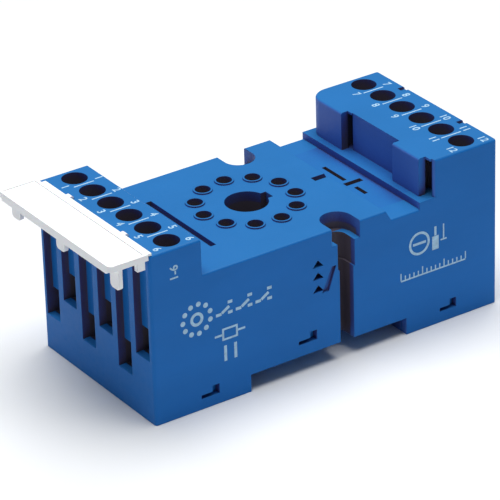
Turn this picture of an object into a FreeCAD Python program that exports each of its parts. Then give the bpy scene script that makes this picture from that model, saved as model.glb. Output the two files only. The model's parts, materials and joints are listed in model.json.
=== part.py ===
"""Eleven-pin plug-in relay socket for a 35 mm rail, with box-clamp screw terminals.

Millimetres. The origin is the middle of the rail seat, where the flat top of the rail bears.
+X runs along the socket, from the end with the tag holder to the tall slotted block.
+Y runs across the socket, and +Z points out of the rail, towards the relay.
"""
import FreeCAD
import Part
import math
import os

V = FreeCAD.Vector
os.makedirs("parts", exist_ok=True)

# ---- housing, outside ----
LEFT_END = -38.45
RIGHT_END = 38.75
HALF_WIDTH = 18.75
FOOT_DEPTH = 3.5
NOTCH_HALF = 17.6
BLOCK_TOP = 31.0
DECK_TOP = 23.9
LOW_DECK_TOP = 21.8
LEDGE_TOP = 23.2
LEFT_BLOCK_INNER = -27.5
DECK_STEP_TOP = 13.0
DECK_STEP_FOOT = 14.2
LEDGE_START = 20.8
RIGHT_BLOCK_INNER = 22.2
END_CORNER_R = 0.6
TOP_EDGE_R = 0.5
BACK_CORNER_R = 3.8

# ---- housing, inside ----
SIDE_WALL = 1.6
DECK_THICKNESS = 1.8
BASE_TOP = 2.8
BASE_GAP = 0.15

# ---- relay interface ----
PIN_CENTRE_X = -5.0
PIN_CIRCLE_R = 9.525
PIN_COUNT = 11
PIN_HOLE_R = 1.5
PIN_COLLAR_R = 1.85
PIN_COLLAR_HEIGHT = 0.3
KEY_HOLE_R = 4.15
KEY_NOTCH_WIDTH = 2.4
KEY_NOTCH_REACH = 5.1
KEY_WELL_WALL = 1.1
KEY_WELL_FLOOR = 8.0
TOWER_R = 2.45
TOWER_LENGTH = 4.1

# ---- terminals ----
TERMINALS_PER_SIDE = 6
PITCH = 6.14
LEFT_SCREW_X = -32.45
RIGHT_SCREW_X = 33.0
SCREW_BORE_R = 2.45
HEAD_R = 2.2
HEAD_HEIGHT = 1.9
SLOT_HALF = 0.35
SLOT_DEPTH = 0.9
CROSS_HALF = 0.4
CROSS_REACH = 1.4
CROSS_DEPTH = 1.1
CAGE_GROOVES = 4
CAGE_GROOVE_PITCH = 1.2
SHANK_R = 1.45
SHANK_GAP = 0.05
LOW_ENTRY_FLOOR = 3.8
HIGH_ENTRY_FLOOR = 9.25
ENTRY_HEIGHT = 5.2
CHANNEL_WIDTH = 4.5
CHANNEL_DEPTH = 1.5
CHANNEL_TOP = 29.6
ENTRY_WALL = 1.2
SHAFT_WIDTH = 5.2
SHAFT_INNER_REACH = 4.05
CAGE_WIDTH = 4.9
CAGE_LENGTH = 5.6
CAGE_SIDE = 0.5
CAGE_FLOOR = 0.8
CAGE_ROOF = 1.8
CAGE_TRAVEL = 4.0
SHOULDER = 0.8
BAR_THICKNESS = 0.8
BAR_WIDTH = 3.5
STRIP_WIDTH = 2.2
NARROW_STRIP_WIDTH = 1.6
RECEPTACLE_R = 1.75
RECEPTACLE_BORE_R = 1.2

# ---- rail fixing ----
HOOK_REACH = 1.4
HOOK_TOP = -1.15
HOOK_BOTTOM = -2.9
HOOK_Y = 9.0
HOOK_HALF = 3.0
SPRING_POCKET = (24.0, 1.9, 2.0)
STRIP_CLEARANCE_HALF = (2.2, 1.6)
LATCH_GAP = 0.2
LATCH_STEP = 3.2
LATCH_CHAMFER = 1.4
SPRING_POST = (1.1, 1.6, 1.8)
TOOL_SLOT = (1.1, 0.6, 2.6)
TAIL_NOTCH_Y = 4.9
TAIL_NOTCH_HALF = 0.8
TAIL_NOTCH_LENGTH = 2.0
LATCH_HALF = 5.5
LATCH_FLANGE_HALF = 6.8
LATCH_TOP = -1.0
LATCH_FLANGE_BOTTOM = -2.0
LATCH_BOTTOM = -3.2
LATCH_NOSE = 16.1
LATCH_TAIL = 41.0
FORK_X = (16.3, 17.45)
FORK_GAP_X = (16.65, 17.1)
FORK_1_Y = (2.1, 4.0)
FORK_1_GAP = 6.0
FORK_2_Y = (-6.7, -4.8)
FORK_2_GAP = 3.0
FORK_2_FOOT_Y = -2.4
FORK_FOOT_THICKNESS = 0.5
SPRING_START = 25.4
SPRING_END = 34.5
SPRING_AXIS_Z = 0.5
SPRING_R = 1.25
SPRING_WIRE_R = 0.22
SPRING_TURNS = 8

# ---- panel-screw pockets and module slots ----
POCKET_X = 4.05
POCKET_R = 3.15
POCKET_INSET = 2.85
POCKET_FLOOR = 20.4
PANEL_SCREW_R = 1.9
PANEL_SCREW_LOW_R = 1.55
PANEL_SCREW_STEP = 15.0
COLUMN_HALF = 5.0
COLUMN_REACH = 7.35
DECK_GROOVES = (
    (-20.2, -19.0, -10.7, 10.9, DECK_TOP, 1.1),
    (9.95, DECK_STEP_TOP + 1.3, -0.85, 0.65, DECK_TOP, 1.1),
    (15.75, 19.6, -2.75, -1.55, LOW_DECK_TOP, 0.9),
)
MODULE_SLOT_X = (16.45, 17.3)
MODULE_SLOTS_Y = ((-0.6, 6.3), (-7.4, -4.1))

# ---- stepped inner wall of the tall block ----
WALL_RECESS = 1.75
WALL_RECESS_Y = (-8.4, 6.5)
GUIDE_SLOTS_Y = ((6.5, 7.8), (-18.1, -16.6))
GUIDE_CAVITIES_Y = ((6.5, 8.6), (-18.1, -14.6))
GUIDE_SLOT_MOUTH = 1.55
GUIDE_SLOT_DEPTH = 3.8
GUIDE_SLOT_ROOF = 0.45
FRONT_LIP_SET_BACK = 1.95
FRONT_LIP_WIDTH = 0.65
FRONT_LIP_R = 0.6

# ---- marks and windows in the long sides ----
ARROW_X = -2.3
ARROW_LEVELS = (17.25, 14.75, 12.1)
ARROW_HALF = 1.2
ARROW_HEIGHT = 1.4
ARROW_DEPTH = 1.3
SLANT_GROOVE = ((0.8, 16.4), (1.8, 16.4), (0.05, 11.6), (-1.45, 11.6))
SLANT_GROOVE_DEPTH = 0.5
SNAP_WINDOWS = ((-28.5, -24.55, -1.35), (-6.9, -2.8, 2.45), (25.4, 29.2, -1.25))
SNAP_SLIT_HEIGHT = 0.75
SNAP_TAB_WIDTH = 1.5
SNAP_TAB_HEIGHT = 2.0
SNAP_TAB_GRIP = 0.55

# ---- tag holder ----
TAG_OUTER = -46.7
TAG_TOP = 31.5
TAG_BOTTOM = 30.35
TAG_AXIS_X = -37.35
TAG_AXIS_Z = 31.05
TAG_BARREL_R = 0.5
TAG_TONGUE_Y = 9.2
TAG_TONGUE_WIDTH = 1.4
TAG_FLANGE_END = -37.7
TAG_FLANGE_Y = (-18.6, 16.9)
TAG_LEGS_Y = (-16.7, 1.35, 16.7)
TAG_LEG_HALF = 1.45
TAG_LEG_OUTER = -44.4
TAG_LEG_THICKNESS = 0.8
TAG_LEG_BOTTOM = 25.8
TAG_LEG_CORNER_R = 0.8
TAG_LUG_X = (-40.9, -39.3)
TAG_LUG_HEIGHT = 1.6
TAG_RECESS = 0.35
TAG_RIM = 0.7
TAG_LABEL_GAP = 0.05
TONGUE_NOTCH_REACH = 1.7
TONGUE_NOTCH_DEPTH = 0.6

EPS = 0.5


def box(x0, x1, y0, y1, z0, z1):
    return Part.makeBox(x1 - x0, y1 - y0, z1 - z0, V(x0, y0, z0))


def rod(x, y, z0, z1, radius):
    return Part.makeCylinder(radius, z1 - z0, V(x, y, z0), V(0, 0, 1))


def rod_along_y(x, z, y0, y1, radius):
    return Part.makeCylinder(radius, y1 - y0, V(x, y0, z), V(0, 1, 0))


def prism(profile, y0, y1):
    """A closed outline of (x, z) points, extruded along Y."""
    points = [V(x, y0, z) for x, z in profile]
    face = Part.Face(Part.makePolygon(points + points[:1]))
    return face.extrude(V(0, y1 - y0, 0))


def join(shapes):
    return shapes[0].multiFuse(shapes[1:]).removeSplitter() if len(shapes) > 1 else shapes[0]


def save(shape, node):
    solid = shape.removeSplitter()
    if len(solid.Solids) == 1:
        solid = solid.Solids[0]
    print(node, "valid", solid.isValid(), "solids", len(shape.Solids), "mm3", round(solid.Volume, 1))
    solid.exportStep(f"parts/{node}.step")


def pin_places():
    """Pin centres in order round the circle, with the key notch midway between first and last."""
    step = 2 * math.pi / PIN_COUNT
    places = []
    for index in range(PIN_COUNT):
        angle = step * (index + 0.5)
        x = PIN_CENTRE_X + PIN_CIRCLE_R * math.cos(angle)
        places.append((x, PIN_CIRCLE_R * math.sin(angle)))
    return places


def terminals():
    """Number, side (-1 left, +1 right), screw x, y and wire-entry floor of each terminal."""
    rows = []
    for side, screw_x in ((-1, LEFT_SCREW_X), (1, RIGHT_SCREW_X)):
        for index in range(TERMINALS_PER_SIDE):
            y = PITCH * ((TERMINALS_PER_SIDE - 1) / 2 - index)
            floor = LOW_ENTRY_FLOOR if index % 2 == 0 else HIGH_ENTRY_FLOOR
            rows.append((len(rows) + 1, side, screw_x, y, floor))
    return rows


def bar_bottom(floor):
    return floor + ENTRY_HEIGHT + 0.1


def cage_roof_bottom(floor):
    return bar_bottom(floor) + BAR_THICKNESS + 0.15


def shaft_top(floor):
    return cage_roof_bottom(floor) + CAGE_ROOF + CAGE_TRAVEL + 0.15


def head_bottom(floor):
    return shaft_top(floor) + SHOULDER


def end_face(side):
    return LEFT_END if side < 0 else RIGHT_END


def span(a, b):
    return (a, b) if a < b else (b, a)


# ---------------------------------------------------------------- housing cover
def outer_blank():
    profile = [
        (LEFT_END, -FOOT_DEPTH),
        (-NOTCH_HALF, -FOOT_DEPTH),
        (-NOTCH_HALF, 0),
        (NOTCH_HALF, 0),
        (NOTCH_HALF, -FOOT_DEPTH),
        (RIGHT_END, -FOOT_DEPTH),
        (RIGHT_END, BLOCK_TOP),
        (RIGHT_BLOCK_INNER, BLOCK_TOP),
        (RIGHT_BLOCK_INNER, LEDGE_TOP),
        (LEDGE_START, LEDGE_TOP),
        (LEDGE_START, LOW_DECK_TOP),
        (DECK_STEP_FOOT, LOW_DECK_TOP),
        (DECK_STEP_TOP, DECK_TOP),
        (LEFT_BLOCK_INNER, DECK_TOP),
        (LEFT_BLOCK_INNER, BLOCK_TOP),
        (LEFT_END, BLOCK_TOP),
    ]
    blank = prism(profile, -HALF_WIDTH, HALF_WIDTH)
    ends = []
    for edge in blank.Edges:
        low = edge.BoundBox
        upright = low.ZLength > 20 and low.XLength < 0.01 and low.YLength < 0.01
        if upright and (abs(low.XMin - LEFT_END) < 0.01 or abs(low.XMin - RIGHT_END) < 0.01):
            ends.append(edge)
    blank = blank.makeFillet(END_CORNER_R, ends)
    corner_x = RIGHT_BLOCK_INNER + BACK_CORNER_R
    corner_y = HALF_WIDTH - BACK_CORNER_R
    corner = box(RIGHT_BLOCK_INNER - EPS, corner_x, corner_y, HALF_WIDTH + EPS, LEDGE_TOP, BLOCK_TOP + EPS)
    corner = corner.cut(rod(corner_x, corner_y, LEDGE_TOP - EPS, BLOCK_TOP + 1, BACK_CORNER_R))
    blank = blank.cut(corner)
    rims = [e for e in blank.Edges if e.BoundBox.ZMin > BLOCK_TOP - 0.01]
    blank = blank.makeFillet(TOP_EDGE_R, rims)
    deck_rims = []
    for edge in blank.Edges:
        low = edge.BoundBox
        level = low.ZLength < 0.01 and low.YLength < 0.01 and low.XLength > 5
        on_side = abs(abs(low.YMin) - HALF_WIDTH) < 0.01
        if level and on_side and LOW_DECK_TOP - 0.1 < low.ZMin < DECK_TOP + 0.1:
            deck_rims.append(edge)
    return blank.makeFillet(TOP_EDGE_R * 0.7, deck_rims)


def inner_hollow():
    """The space under the decks and the shafts that the clamps rise in."""
    wall_y = HALF_WIDTH - SIDE_WALL
    base_left = LEFT_END + SIDE_WALL
    base_right = RIGHT_END - SIDE_WALL
    hollow_left = LEFT_SCREW_X + SHAFT_INNER_REACH
    hollow_right = RIGHT_SCREW_X - SHAFT_INNER_REACH
    pocket = box(base_left, base_right, -wall_y, wall_y, -FOOT_DEPTH - EPS, BASE_TOP + BASE_GAP)
    high_roof = DECK_TOP - DECK_THICKNESS
    low_roof = LOW_DECK_TOP - DECK_THICKNESS + 0.2
    shapes = [pocket]
    shapes.append(box(hollow_left, DECK_STEP_TOP - 0.6, -wall_y, wall_y, 0, high_roof))
    shapes.append(box(DECK_STEP_TOP - 0.7, hollow_right, -wall_y, wall_y, 0, low_roof))
    for _, side, screw_x, y, floor in terminals():
        outer = end_face(side) - side * (CHANNEL_DEPTH + ENTRY_WALL)
        inner = screw_x - side * (SHAFT_INNER_REACH + 0.1)
        x0, x1 = span(outer, inner)
        half = SHAFT_WIDTH / 2
        shapes.append(box(x0, x1, y - half, y + half, 0, shaft_top(floor)))
    return join(shapes)


def terminal_cuts():
    """Screw bores, wire channels and wire windows of all the terminals."""
    cuts = []
    for _, side, screw_x, y, floor in terminals():
        cuts.append(rod(screw_x, y, head_bottom(floor), BLOCK_TOP + EPS, SCREW_BORE_R))
        cuts.append(rod(screw_x, y, shaft_top(floor) - EPS, head_bottom(floor) + EPS, SHANK_R + 0.1))
        half = CHANNEL_WIDTH / 2
        face = end_face(side)
        x0, x1 = span(face + side * EPS, face - side * CHANNEL_DEPTH)
        cuts.append(box(x0, x1, y - half, y + half, floor, CHANNEL_TOP))
        x0, x1 = span(face, face - side * (CHANNEL_DEPTH + ENTRY_WALL + 0.1))
        cuts.append(box(x0, x1, y - half, y + half, floor, floor + ENTRY_HEIGHT))
    return cuts


def right_block_cuts():
    """The stepped inner wall and the two guide slots of the tall block."""
    inner = RIGHT_BLOCK_INNER
    start = inner - EPS
    top = BLOCK_TOP + EPS
    roof = BLOCK_TOP - GUIDE_SLOT_ROOF
    lip_y = FRONT_LIP_WIDTH - HALF_WIDTH
    cuts = [
        box(start, inner + WALL_RECESS, WALL_RECESS_Y[0], WALL_RECESS_Y[1], LEDGE_TOP, top),
        box(start, inner + FRONT_LIP_SET_BACK, -HALF_WIDTH - EPS, lip_y, LEDGE_TOP, top),
    ]
    for y0, y1 in GUIDE_SLOTS_Y:
        cuts.append(box(start, inner + GUIDE_SLOT_MOUTH, y0, y1, LEDGE_TOP, top))
    for y0, y1 in GUIDE_CAVITIES_Y:
        cuts.append(box(inner + GUIDE_SLOT_MOUTH, inner + GUIDE_SLOT_DEPTH, y0, y1, LEDGE_TOP, roof))
    lip_x = inner + FRONT_LIP_SET_BACK
    centre_x = lip_x + FRONT_LIP_R
    centre_y = FRONT_LIP_R - HALF_WIDTH
    edge = box(lip_x - EPS, centre_x, -HALF_WIDTH - EPS, centre_y, LEDGE_TOP, top)
    cuts.append(edge.cut(rod(centre_x, centre_y, LEDGE_TOP - EPS, top + EPS, FRONT_LIP_R)))
    return cuts


def pocket_cuts():
    """Open panel-screw pockets in both long sides, with the stepped screw channel below."""
    cuts = []
    for sign in (-1, 1):
        centre_y = sign * (HALF_WIDTH - POCKET_INSET)
        outside = sign * (HALF_WIDTH + EPS)
        y0, y1 = span(centre_y, outside)
        steps = (
            (POCKET_R, POCKET_FLOOR, DECK_TOP + EPS),
            (PANEL_SCREW_R, PANEL_SCREW_STEP, POCKET_FLOOR + 0.1),
            (PANEL_SCREW_LOW_R, -EPS, PANEL_SCREW_STEP + 0.1),
        )
        for radius, z0, z1 in steps:
            cuts.append(rod(POCKET_X, centre_y, z0, z1, radius))
            cuts.append(box(POCKET_X - radius, POCKET_X + radius, y0, y1, z0, z1))
    return cuts


def deck_cuts():
    """The long groove, the module recesses and the two blade slots in the decks."""
    cuts = []
    for x0, x1, y0, y1, deck, depth in DECK_GROOVES:
        cuts.append(box(x0, x1, y0, y1, deck - depth, deck + EPS))
    x0, x1 = MODULE_SLOT_X
    for y0, y1 in MODULE_SLOTS_Y:
        cuts.append(box(x0, x1, y0, y1, LOW_DECK_TOP - 2 * DECK_THICKNESS, LOW_DECK_TOP + EPS))
    return cuts


def side_marks():
    """Three moulded arrow heads and a slanted groove in the front, and the snap windows."""
    cuts = []
    front = -HALF_WIDTH
    for z in ARROW_LEVELS:
        arrow = [(ARROW_X - ARROW_HALF, z), (ARROW_X + ARROW_HALF, z), (ARROW_X, z + ARROW_HEIGHT)]
        cuts.append(prism(arrow, front - EPS, front + ARROW_DEPTH))
    cuts.append(prism(SLANT_GROOVE, front - EPS, front + SLANT_GROOVE_DEPTH))
    for x0, x1, sill in SNAP_WINDOWS:
        for sign in (-1, 1):
            y0, y1 = span(sign * (HALF_WIDTH - SIDE_WALL - 0.1), sign * (HALF_WIDTH + EPS))
            cuts.append(box(x0, x1, y0, y1, sill, sill + SNAP_SLIT_HEIGHT))
            cuts.append(box(x1 - SNAP_TAB_WIDTH, x1, y0, y1, sill, sill + SNAP_TAB_HEIGHT))
    return cuts


def tag_notches():
    """Notches in the outer top edge of each block, where the tag holder's tongues sit."""
    cuts = []
    half = TAG_TONGUE_WIDTH / 2 + 0.08
    for side in (-1, 1):
        face = end_face(side)
        x0, x1 = span(face + side * EPS, face - side * TONGUE_NOTCH_REACH)
        for y in (-TAG_TONGUE_Y, TAG_TONGUE_Y):
            cuts.append(box(x0, x1, y - half, y + half, BLOCK_TOP - TONGUE_NOTCH_DEPTH, BLOCK_TOP + EPS))
    return cuts


def latch_opening():
    """The gap in the right end wall that the latch's tail comes out of."""
    width = LATCH_FLANGE_HALF + 0.3
    inner = RIGHT_END - SIDE_WALL - 0.1
    return box(inner, RIGHT_END + EPS, -width, width, -FOOT_DEPTH - EPS, LATCH_TOP + 0.2)


def housing_cover():
    body = outer_blank().cut(inner_hollow())
    high_roof = DECK_TOP - DECK_THICKNESS
    additions = []
    for sign in (-1, 1):
        y0, y1 = span(sign * (HALF_WIDTH - COLUMN_REACH), sign * (HALF_WIDTH - SIDE_WALL + 0.5))
        additions.append(box(POCKET_X - COLUMN_HALF, POCKET_X + COLUMN_HALF, y0, y1, 0, high_roof + 0.2))
    well_r = KEY_NOTCH_REACH + KEY_WELL_WALL
    additions.append(rod(PIN_CENTRE_X, 0, KEY_WELL_FLOOR - KEY_WELL_WALL, high_roof + 0.2, well_r))
    for x, y in pin_places():
        additions.append(rod(x, y, high_roof - TOWER_LENGTH, high_roof + 0.2, TOWER_R))
        additions.append(rod(x, y, DECK_TOP - 0.2, DECK_TOP + PIN_COLLAR_HEIGHT, PIN_COLLAR_R))
    body = body.multiFuse(additions)
    cuts = terminal_cuts() + right_block_cuts() + pocket_cuts() + deck_cuts()
    cuts += side_marks() + tag_notches() + [latch_opening()]
    for x, y in pin_places():
        cuts.append(rod(x, y, high_roof - EPS, DECK_TOP + 1, PIN_HOLE_R))
        cuts.append(rod(x, y, high_roof - TOWER_LENGTH - EPS, high_roof, RECEPTACLE_R + 0.05))
    cuts.append(rod(PIN_CENTRE_X, 0, KEY_WELL_FLOOR, DECK_TOP + EPS, KEY_HOLE_R))
    half = KEY_NOTCH_WIDTH / 2
    reach = PIN_CENTRE_X + KEY_NOTCH_REACH
    cuts.append(box(PIN_CENTRE_X, reach, -half, half, KEY_WELL_FLOOR, DECK_TOP + EPS))
    save(body.cut(cuts), "housing_cover")


# ---------------------------------------------------------------- base plate and rail latch
def base_plate():
    left = LEFT_END + SIDE_WALL + BASE_GAP
    right = RIGHT_END - SIDE_WALL - BASE_GAP
    side = HALF_WIDTH - SIDE_WALL - BASE_GAP
    profile = [
        (left, -FOOT_DEPTH),
        (-NOTCH_HALF, -FOOT_DEPTH),
        (-NOTCH_HALF, 0),
        (NOTCH_HALF, 0),
        (NOTCH_HALF, -FOOT_DEPTH),
        (right, -FOOT_DEPTH),
        (right, BASE_TOP),
        (left, BASE_TOP),
    ]
    plate = prism(profile, -side, side)
    additions = []
    hook_tip = -NOTCH_HALF + HOOK_REACH
    hook = [
        (-NOTCH_HALF - 0.2, HOOK_TOP),
        (hook_tip, HOOK_TOP),
        (hook_tip, HOOK_TOP - 0.7),
        (-NOTCH_HALF, HOOK_BOTTOM - 0.3),
        (-NOTCH_HALF - 0.2, HOOK_BOTTOM - 0.3),
    ]
    for y in (-HOOK_Y, HOOK_Y):
        additions.append(prism(hook, y - HOOK_HALF, y + HOOK_HALF))
    for x0, x1, sill in SNAP_WINDOWS:
        for sign in (-1, 1):
            inner = sign * (side - 1.0)
            y0, y1 = span(inner, sign * (side + SNAP_TAB_GRIP))
            tab_top = sill + SNAP_TAB_HEIGHT - 0.2
            additions.append(box(x1 - SNAP_TAB_WIDTH + 0.1, x1 - 0.1, y0, y1, sill + 0.1, tab_top))
            y0, y1 = span(inner, sign * side)
            post_top = max(sill + SNAP_TAB_HEIGHT, BASE_TOP)
            additions.append(box(x1 - SNAP_TAB_WIDTH - 0.4, x1 + 0.4, y0, y1, sill, post_top))
    plate = plate.multiFuse(additions)
    cuts = []
    gap = BASE_GAP
    for sign in (-1, 1):
        y0, y1 = span(sign * (HALF_WIDTH - COLUMN_REACH - gap), sign * (HALF_WIDTH + EPS))
        x0, x1 = POCKET_X - COLUMN_HALF - gap, POCKET_X + COLUMN_HALF + gap
        cuts.append(box(x0, x1, y0, y1, -EPS, BASE_TOP + EPS))
    far = RIGHT_END + 1
    body_half = LATCH_HALF + LATCH_GAP
    flange_half = LATCH_FLANGE_HALF + LATCH_GAP
    start = NOTCH_HALF - EPS
    cuts.append(box(start, far, -body_half, body_half, -FOOT_DEPTH - EPS, LATCH_FLANGE_BOTTOM))
    cuts.append(box(start, far, -flange_half, flange_half, LATCH_FLANGE_BOTTOM - 0.1, LATCH_TOP + 0.1))
    pocket_start, pocket_half, pocket_top = SPRING_POCKET
    cuts.append(box(pocket_start, SPRING_END, -pocket_half, pocket_half, LATCH_TOP, pocket_top))
    half_x, half_y = STRIP_CLEARANCE_HALF
    for _, side_sign, screw_x, y, floor in terminals():
        if floor == LOW_ENTRY_FLOOR:
            x0, x1 = screw_x - half_x, screw_x + half_x
            cuts.append(box(x0, x1, y - half_y, y + half_y, BASE_TOP - 0.6, BASE_TOP + EPS))
    save(plate.cut(cuts), "base_plate")


def din_latch():
    """Sliding foot with a chamfered nose, guide flanges, a post for its spring and a slotted tail."""
    nose_end = NOTCH_HALF + LATCH_STEP
    nose_top = LATCH_TOP - 0.15
    nose = [
        (LATCH_NOSE, nose_top),
        (nose_end, nose_top),
        (nose_end, LATCH_BOTTOM),
        (LATCH_NOSE + LATCH_CHAMFER, LATCH_BOTTOM),
        (LATCH_NOSE, LATCH_TOP - 1.0),
    ]
    plate = prism(nose, -LATCH_HALF, LATCH_HALF)
    start = nose_end - LATCH_GAP
    flange_end = RIGHT_END - 0.6
    flange_bottom = LATCH_FLANGE_BOTTOM + 0.1
    post_length, post_half, post_top = SPRING_POST
    additions = [
        box(start, LATCH_TAIL, -LATCH_HALF, LATCH_HALF, LATCH_BOTTOM, LATCH_TOP),
        box(start, flange_end, -LATCH_FLANGE_HALF, LATCH_FLANGE_HALF, flange_bottom, LATCH_TOP),
        box(SPRING_START - post_length, SPRING_START, -post_half, post_half, LATCH_TOP - 0.3, post_top),
    ]
    plate = plate.multiFuse(additions)
    slot_length, slot_margin, slot_half = TOOL_SLOT
    x1 = LATCH_TAIL - slot_margin
    cuts = [box(x1 - slot_length, x1, -slot_half, slot_half, LATCH_BOTTOM - EPS, LATCH_TOP + EPS)]
    for y in (-TAIL_NOTCH_Y, TAIL_NOTCH_Y):
        y0, y1 = y - TAIL_NOTCH_HALF, y + TAIL_NOTCH_HALF
        cuts.append(box(LATCH_TAIL - TAIL_NOTCH_LENGTH, LATCH_TAIL + EPS, y0, y1, LATCH_BOTTOM - EPS, 0))
    save(plate.cut(cuts), "din_latch")


def din_latch_spring():
    """Compression spring between the latch's post and the end of its pocket in the base."""
    length = SPRING_END - SPRING_START - 2 * SPRING_WIRE_R - 0.1
    pitch = length / SPRING_TURNS
    helix = Part.makeHelix(pitch, length, SPRING_R)
    wire_circle = Part.Wire(Part.makeCircle(SPRING_WIRE_R, V(SPRING_R, 0, 0), V(0, 1, 0)))
    coil = Part.Wire(helix).makePipeShell([wire_circle], True, True)
    coil.rotate(V(0, 0, 0), V(0, 1, 0), 90)
    coil.translate(V(SPRING_START + SPRING_WIRE_R + 0.05, 0, SPRING_AXIS_Z))
    save(coil, "din_latch_spring")


# ---------------------------------------------------------------- tag holder
def tag_holder():
    y_end = HALF_WIDTH + 0.1
    wall = LEFT_END - 0.1
    plate = box(TAG_OUTER, wall, -y_end, y_end, TAG_BOTTOM, TAG_TOP)
    corners = []
    for edge in plate.Edges:
        low = edge.BoundBox
        if low.ZLength > 1 and low.XMin < TAG_OUTER + 0.1:
            corners.append(edge)
    plate = plate.makeFillet(1.0, corners)
    flange = box(wall - 0.2, TAG_FLANGE_END, TAG_FLANGE_Y[0], TAG_FLANGE_Y[1], TAG_AXIS_Z, TAG_TOP)
    lip = box(TAG_OUTER, TAG_OUTER + 0.8, -y_end + 1.2, y_end - 1.2, TAG_BOTTOM - 0.45, TAG_BOTTOM + 0.2)
    additions = [flange, lip]
    for y in (-TAG_TONGUE_Y, TAG_TONGUE_Y):
        half = TAG_TONGUE_WIDTH / 2
        additions.append(rod_along_y(TAG_AXIS_X, TAG_AXIS_Z, y - half, y + half, TAG_BARREL_R))
        additions.append(box(wall - 0.3, TAG_AXIS_X, y - half, y + half, TAG_AXIS_Z - 0.3, TAG_TOP))
    for y in TAG_LEGS_Y:
        y0, y1 = y - TAG_LEG_HALF, y + TAG_LEG_HALF
        inner = TAG_LEG_OUTER + TAG_LEG_THICKNESS
        leg = box(TAG_LEG_OUTER, inner, y0, y1, TAG_LEG_BOTTOM, TAG_BOTTOM + 0.1)
        lower = [e for e in leg.Edges if e.BoundBox.ZMax < TAG_LEG_BOTTOM + 0.01 and e.BoundBox.XLength > 0.1]
        additions.append(leg.makeFillet(TAG_LEG_CORNER_R, lower))
    for y in (-y_end + 0.5, y_end - 0.5):
        lug_bottom = TAG_BOTTOM - TAG_LUG_HEIGHT
        additions.append(box(TAG_LUG_X[0], TAG_LUG_X[1], y - 0.5, y + 0.5, lug_bottom, TAG_BOTTOM + 0.1))
    holder = plate.multiFuse(additions)
    rim_y = y_end - TAG_RIM
    recess = box(TAG_OUTER + TAG_RIM, wall - TAG_RIM, -rim_y, rim_y, TAG_TOP - TAG_RECESS, TAG_TOP + EPS)
    save(holder.cut(recess), "tag_holder")


def tag_label():
    inset = TAG_RIM + TAG_LABEL_GAP
    y_end = HALF_WIDTH + 0.1 - inset
    wall = LEFT_END - 0.1 - inset
    label = box(TAG_OUTER + inset, wall, -y_end, y_end, TAG_TOP - TAG_RECESS, TAG_TOP - 0.1)
    save(label, "tag_label")


# ---------------------------------------------------------------- terminals
def terminal_screw(number, screw_x, y, floor):
    under_head = head_bottom(floor)
    tip = bar_bottom(floor) + BAR_THICKNESS + 0.1
    shank = rod(screw_x, y, tip + 0.4, under_head + 0.1, SHANK_R)
    tip_cone = Part.makeCone(SHANK_R - 0.4, SHANK_R, 0.4, V(screw_x, y, tip), V(0, 0, 1))
    head = rod(screw_x, y, under_head + 0.02, under_head + HEAD_HEIGHT, HEAD_R)
    rim = [e for e in head.Edges if e.BoundBox.ZMin > under_head + HEAD_HEIGHT - 0.01]
    head = head.makeFillet(0.35, rim)
    screw = join([head, shank, tip_cone])
    top = under_head + HEAD_HEIGHT
    reach = HEAD_R + EPS
    slot = box(screw_x - reach, screw_x + reach, y - SLOT_HALF, y + SLOT_HALF, top - SLOT_DEPTH, top + EPS)
    cross_bottom = top - CROSS_DEPTH
    x0, x1 = screw_x - CROSS_HALF, screw_x + CROSS_HALF
    cross = box(x0, x1, y - CROSS_REACH, y + CROSS_REACH, cross_bottom, top + EPS)
    save(screw.cut([slot, cross]), f"terminal_screw_{number:02d}")


def clamp_cage(number, screw_x, y, floor):
    bottom = floor - 0.05 - CAGE_FLOOR
    roof = cage_roof_bottom(floor)
    half_x = CAGE_LENGTH / 2
    half_y = CAGE_WIDTH / 2
    cage = box(screw_x - half_x, screw_x + half_x, y - half_y, y + half_y, bottom, roof + CAGE_ROOF)
    uprights = [e for e in cage.Edges if e.BoundBox.XLength > 5]
    cage = cage.makeFillet(0.35, uprights)
    inner = half_y - CAGE_SIDE
    window = box(screw_x - half_x - 1, screw_x + half_x + 1, y - inner, y + inner, bottom + CAGE_FLOOR, roof)
    thread = rod(screw_x, y, roof - EPS, roof + CAGE_ROOF + EPS, SHANK_R + SHANK_GAP)
    cuts = [window, thread]
    seat = bottom + CAGE_FLOOR
    for groove in range(CAGE_GROOVES):
        x = screw_x - half_x + 1.0 + groove * CAGE_GROOVE_PITCH
        cuts.append(box(x - 0.15, x + 0.15, y - inner, y + inner, seat - 0.15, seat + EPS))
    save(cage.cut(cuts), f"clamp_cage_{number:02d}")


def ribbon(points, width, z):
    """Flat strip along a route of (x, y) points, with round joints where it turns."""
    pieces = []
    for (x0, y0), (x1, y1) in zip(points, points[1:]):
        run = math.hypot(x1 - x0, y1 - y0)
        piece = Part.makeBox(run, width, BAR_THICKNESS, V(0, -width / 2, 0))
        piece.rotate(V(0, 0, 0), V(0, 0, 1), math.degrees(math.atan2(y1 - y0, x1 - x0)))
        piece.translate(V(x0, y0, z))
        pieces.append(piece)
    for x, y in points[1:-1]:
        pieces.append(rod(x, y, z, z + BAR_THICKNESS, width / 2))
    return pieces


def clamp_bar(terminal):
    _, side, screw_x, y, floor = terminal
    tip = screw_x + side * (CAGE_LENGTH / 2 - 0.15)
    root = screw_x - side * (CAGE_LENGTH / 2 + 1.6)
    x0, x1 = span(tip, root)
    z = bar_bottom(floor)
    return box(x0, x1, y - BAR_WIDTH / 2, y + BAR_WIDTH / 2, z, z + BAR_THICKNESS)


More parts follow.
